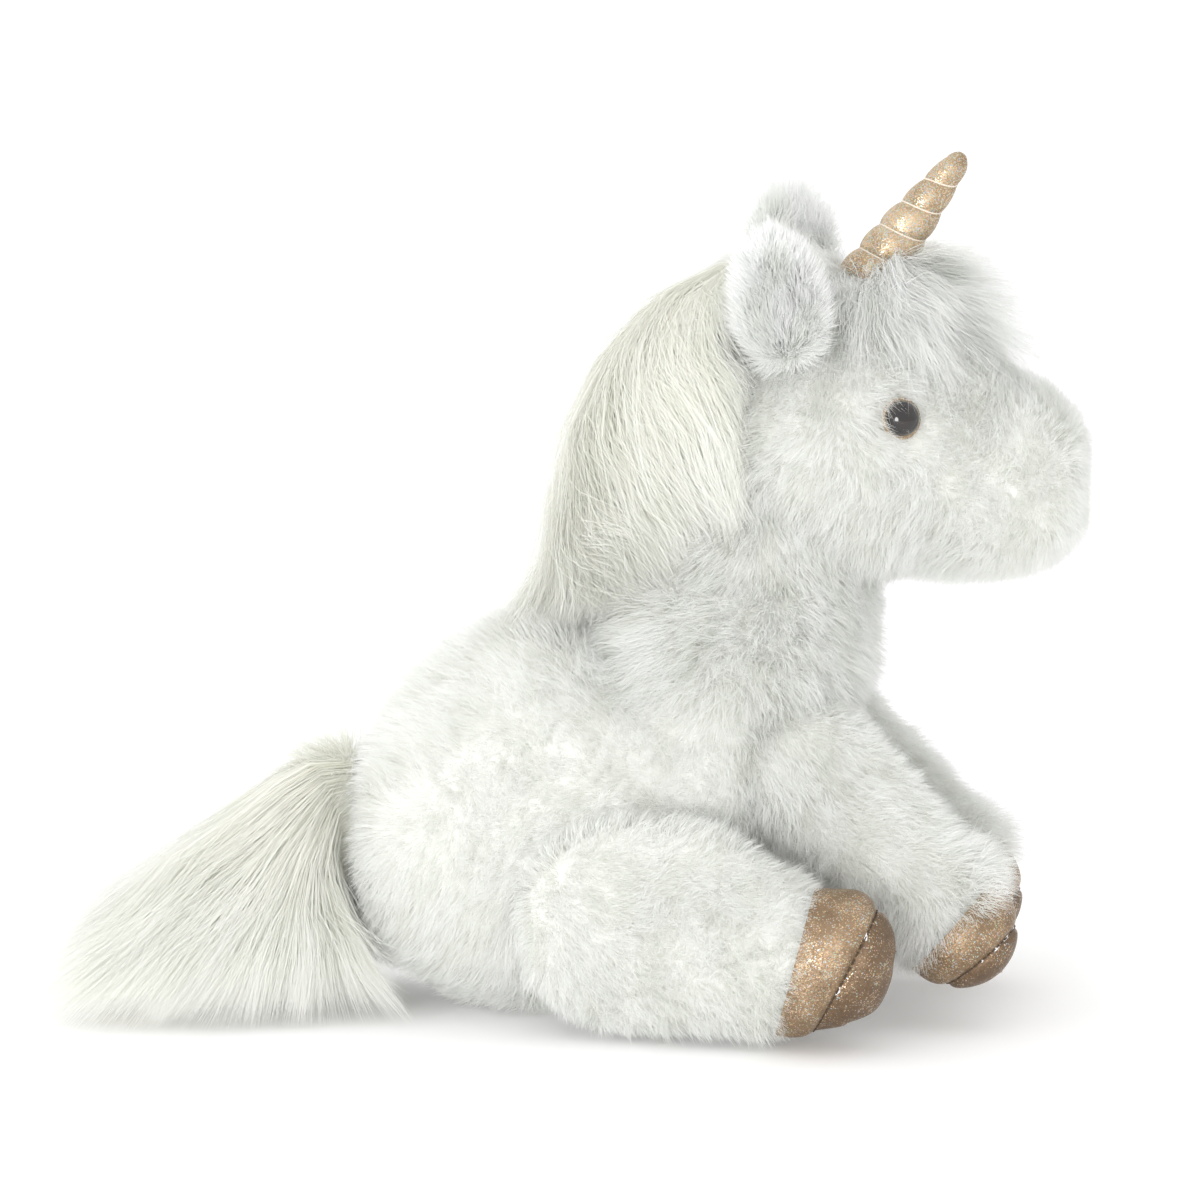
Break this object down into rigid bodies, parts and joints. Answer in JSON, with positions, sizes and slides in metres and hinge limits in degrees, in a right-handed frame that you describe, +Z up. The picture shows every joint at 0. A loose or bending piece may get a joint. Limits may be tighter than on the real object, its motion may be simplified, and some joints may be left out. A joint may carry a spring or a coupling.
{
  "type": "plush_unicorn",
  "caption": "Plush unicorn with white fur, ivory mane and tail, a champagne glitter horn and hooves, lying with its legs stretched forward; head, ears, horn, legs and tail all move",
  "frame": {"origin": "on the ground under the middle of the toy's overall box", "axes": "+X the way the toy faces, +Y to the toy's left, +Z up"},
  "size_m": [0.3265, 0.17, 0.2698],
  "materials": {
    "white_pile": "soft short plush pile",
    "ivory_pile": "long straight ivory pile",
    "filling": "polyester fibre filling",
    "pouch_cloth": "plain woven pouch filled with pellets",
    "gold_cloth": "champagne gold glitter cloth",
    "pale_gold_cloth": "pale champagne glitter cloth",
    "horn_cloth": "champagne glitter cloth",
    "thread": "pale sewing thread",
    "ring_cloth": "tan glitter cloth",
    "eye_plastic": "glossy black dome",
    "washer_plastic": "moulded"
  },
  "bodies": {
    "trunk": {"trunk_panel_left": "white_pile", "trunk_panel_right": "white_pile", "belly_panel": "white_pile", "trunk_stuffing": "filling", "pellet_pouch": "pouch_cloth"},
    "neck": {"neck_cover": "white_pile", "neck_stuffing": "filling"},
    "head": {"head_gusset": "white_pile", "head_panel_left": "white_pile", "head_panel_right": "white_pile", "head_stuffing": "filling", "mane": "ivory_pile", "forelock": "ivory_pile", "eye_left": "eye_plastic", "eye_ring_left": "ring_cloth", "eye_washer_left": "washer_plastic", "eye_right": "eye_plastic", "eye_ring_right": "ring_cloth", "eye_washer_right": "washer_plastic"},
    "horn": {"horn_cover": "horn_cloth", "horn_stuffing": "filling", "horn_thread": "thread"},
    "ear_left": {"ear_inner_left": "white_pile", "ear_outer_left": "white_pile"},
    "ear_right": {"ear_inner_right": "white_pile", "ear_outer_right": "white_pile"},
    "tail_tab": {"tail_tab": "ivory_pile"},
    "tail": {"tail": "ivory_pile"},
    "foreleg_left": {"foreleg_left_sleeve": "white_pile", "foreleg_left_hoof_band": "gold_cloth", "foreleg_left_hoof_sole": "pale_gold_cloth", "foreleg_left_stuffing": "filling"},
    "foreleg_right": {"foreleg_right_sleeve": "white_pile", "foreleg_right_hoof_band": "gold_cloth", "foreleg_right_hoof_sole": "pale_gold_cloth", "foreleg_right_stuffing": "filling"},
    "hindleg_left": {"hindleg_left_sleeve": "white_pile", "hindleg_left_hoof_band": "gold_cloth", "hindleg_left_hoof_sole": "pale_gold_cloth", "hindleg_left_stuffing": "filling"},
    "hindleg_right": {"hindleg_right_sleeve": "white_pile", "hindleg_right_hoof_band": "gold_cloth", "hindleg_right_hoof_sole": "pale_gold_cloth", "hindleg_right_stuffing": "filling"}
  },
  "joints": [
    {"name": "neck_turn", "type": "hinge", "parent": "trunk", "child": "neck", "pos_m": [0.058, 0, 0.11985], "axis": [0, 0, 1], "range_deg": [-30, 30], "stiffness_Nm_per_rad": 0.25},
    {"name": "head_nod", "type": "hinge", "parent": "neck", "child": "head", "pos_m": [0.058, 0, 0.118], "axis": [0, 1, 0], "range_deg": [-8, 14], "stiffness_Nm_per_rad": 0.9},
    {"name": "horn_bend", "type": "hinge", "parent": "head", "child": "horn", "pos_m": [0.092, 0, 0.2294], "axis": [0, 1, 0], "range_deg": [-14, 14], "stiffness_Nm_per_rad": 0.01},
    {"name": "ear_left_fold", "type": "hinge", "parent": "head", "child": "ear_left", "pos_m": [0.07, 0.041, 0.213], "axis": [1, 0, 0], "range_deg": [-35, 10], "stiffness_Nm_per_rad": 0.006},
    {"name": "ear_right_fold", "type": "hinge", "parent": "head", "child": "ear_right", "pos_m": [0.07, -0.041, 0.213], "axis": [1, 0, 0], "range_deg": [-10, 35], "stiffness_Nm_per_rad": 0.006},
    {"name": "foreleg_left_swing", "type": "hinge", "parent": "trunk", "child": "foreleg_left", "pos_m": [0.074, 0.029, 0.08], "axis": [0, 1, 0], "range_deg": [-35, 6], "stiffness_Nm_per_rad": 0.08},
    {"name": "foreleg_right_swing", "type": "hinge", "parent": "trunk", "child": "foreleg_right", "pos_m": [0.074, -0.029, 0.08], "axis": [0, 1, 0], "range_deg": [-35, 6], "stiffness_Nm_per_rad": 0.08},
    {"name": "hindleg_left_swing", "type": "hinge", "parent": "trunk", "child": "hindleg_left", "pos_m": [0.0215, 0.059, 0.036], "axis": [0, 1, 0], "range_deg": [-22, 3], "stiffness_Nm_per_rad": 0.3},
    {"name": "hindleg_right_swing", "type": "hinge", "parent": "trunk", "child": "hindleg_right", "pos_m": [0.0215, -0.059, 0.036], "axis": [0, 1, 0], "range_deg": [-22, 3], "stiffness_Nm_per_rad": 0.3},
    {"name": "tail_lift", "type": "hinge", "parent": "trunk", "child": "tail_tab", "pos_m": [-0.073, 0, 0.072], "axis": [0, 1, 0], "range_deg": [0, 35], "stiffness_Nm_per_rad": 0.12},
    {"name": "tail_swing", "type": "hinge", "parent": "tail_tab", "child": "tail", "pos_m": [-0.073, 0, 0.072], "axis": [0, 0, 1], "range_deg": [-22, 22], "stiffness_Nm_per_rad": 0.05}
  ]
}
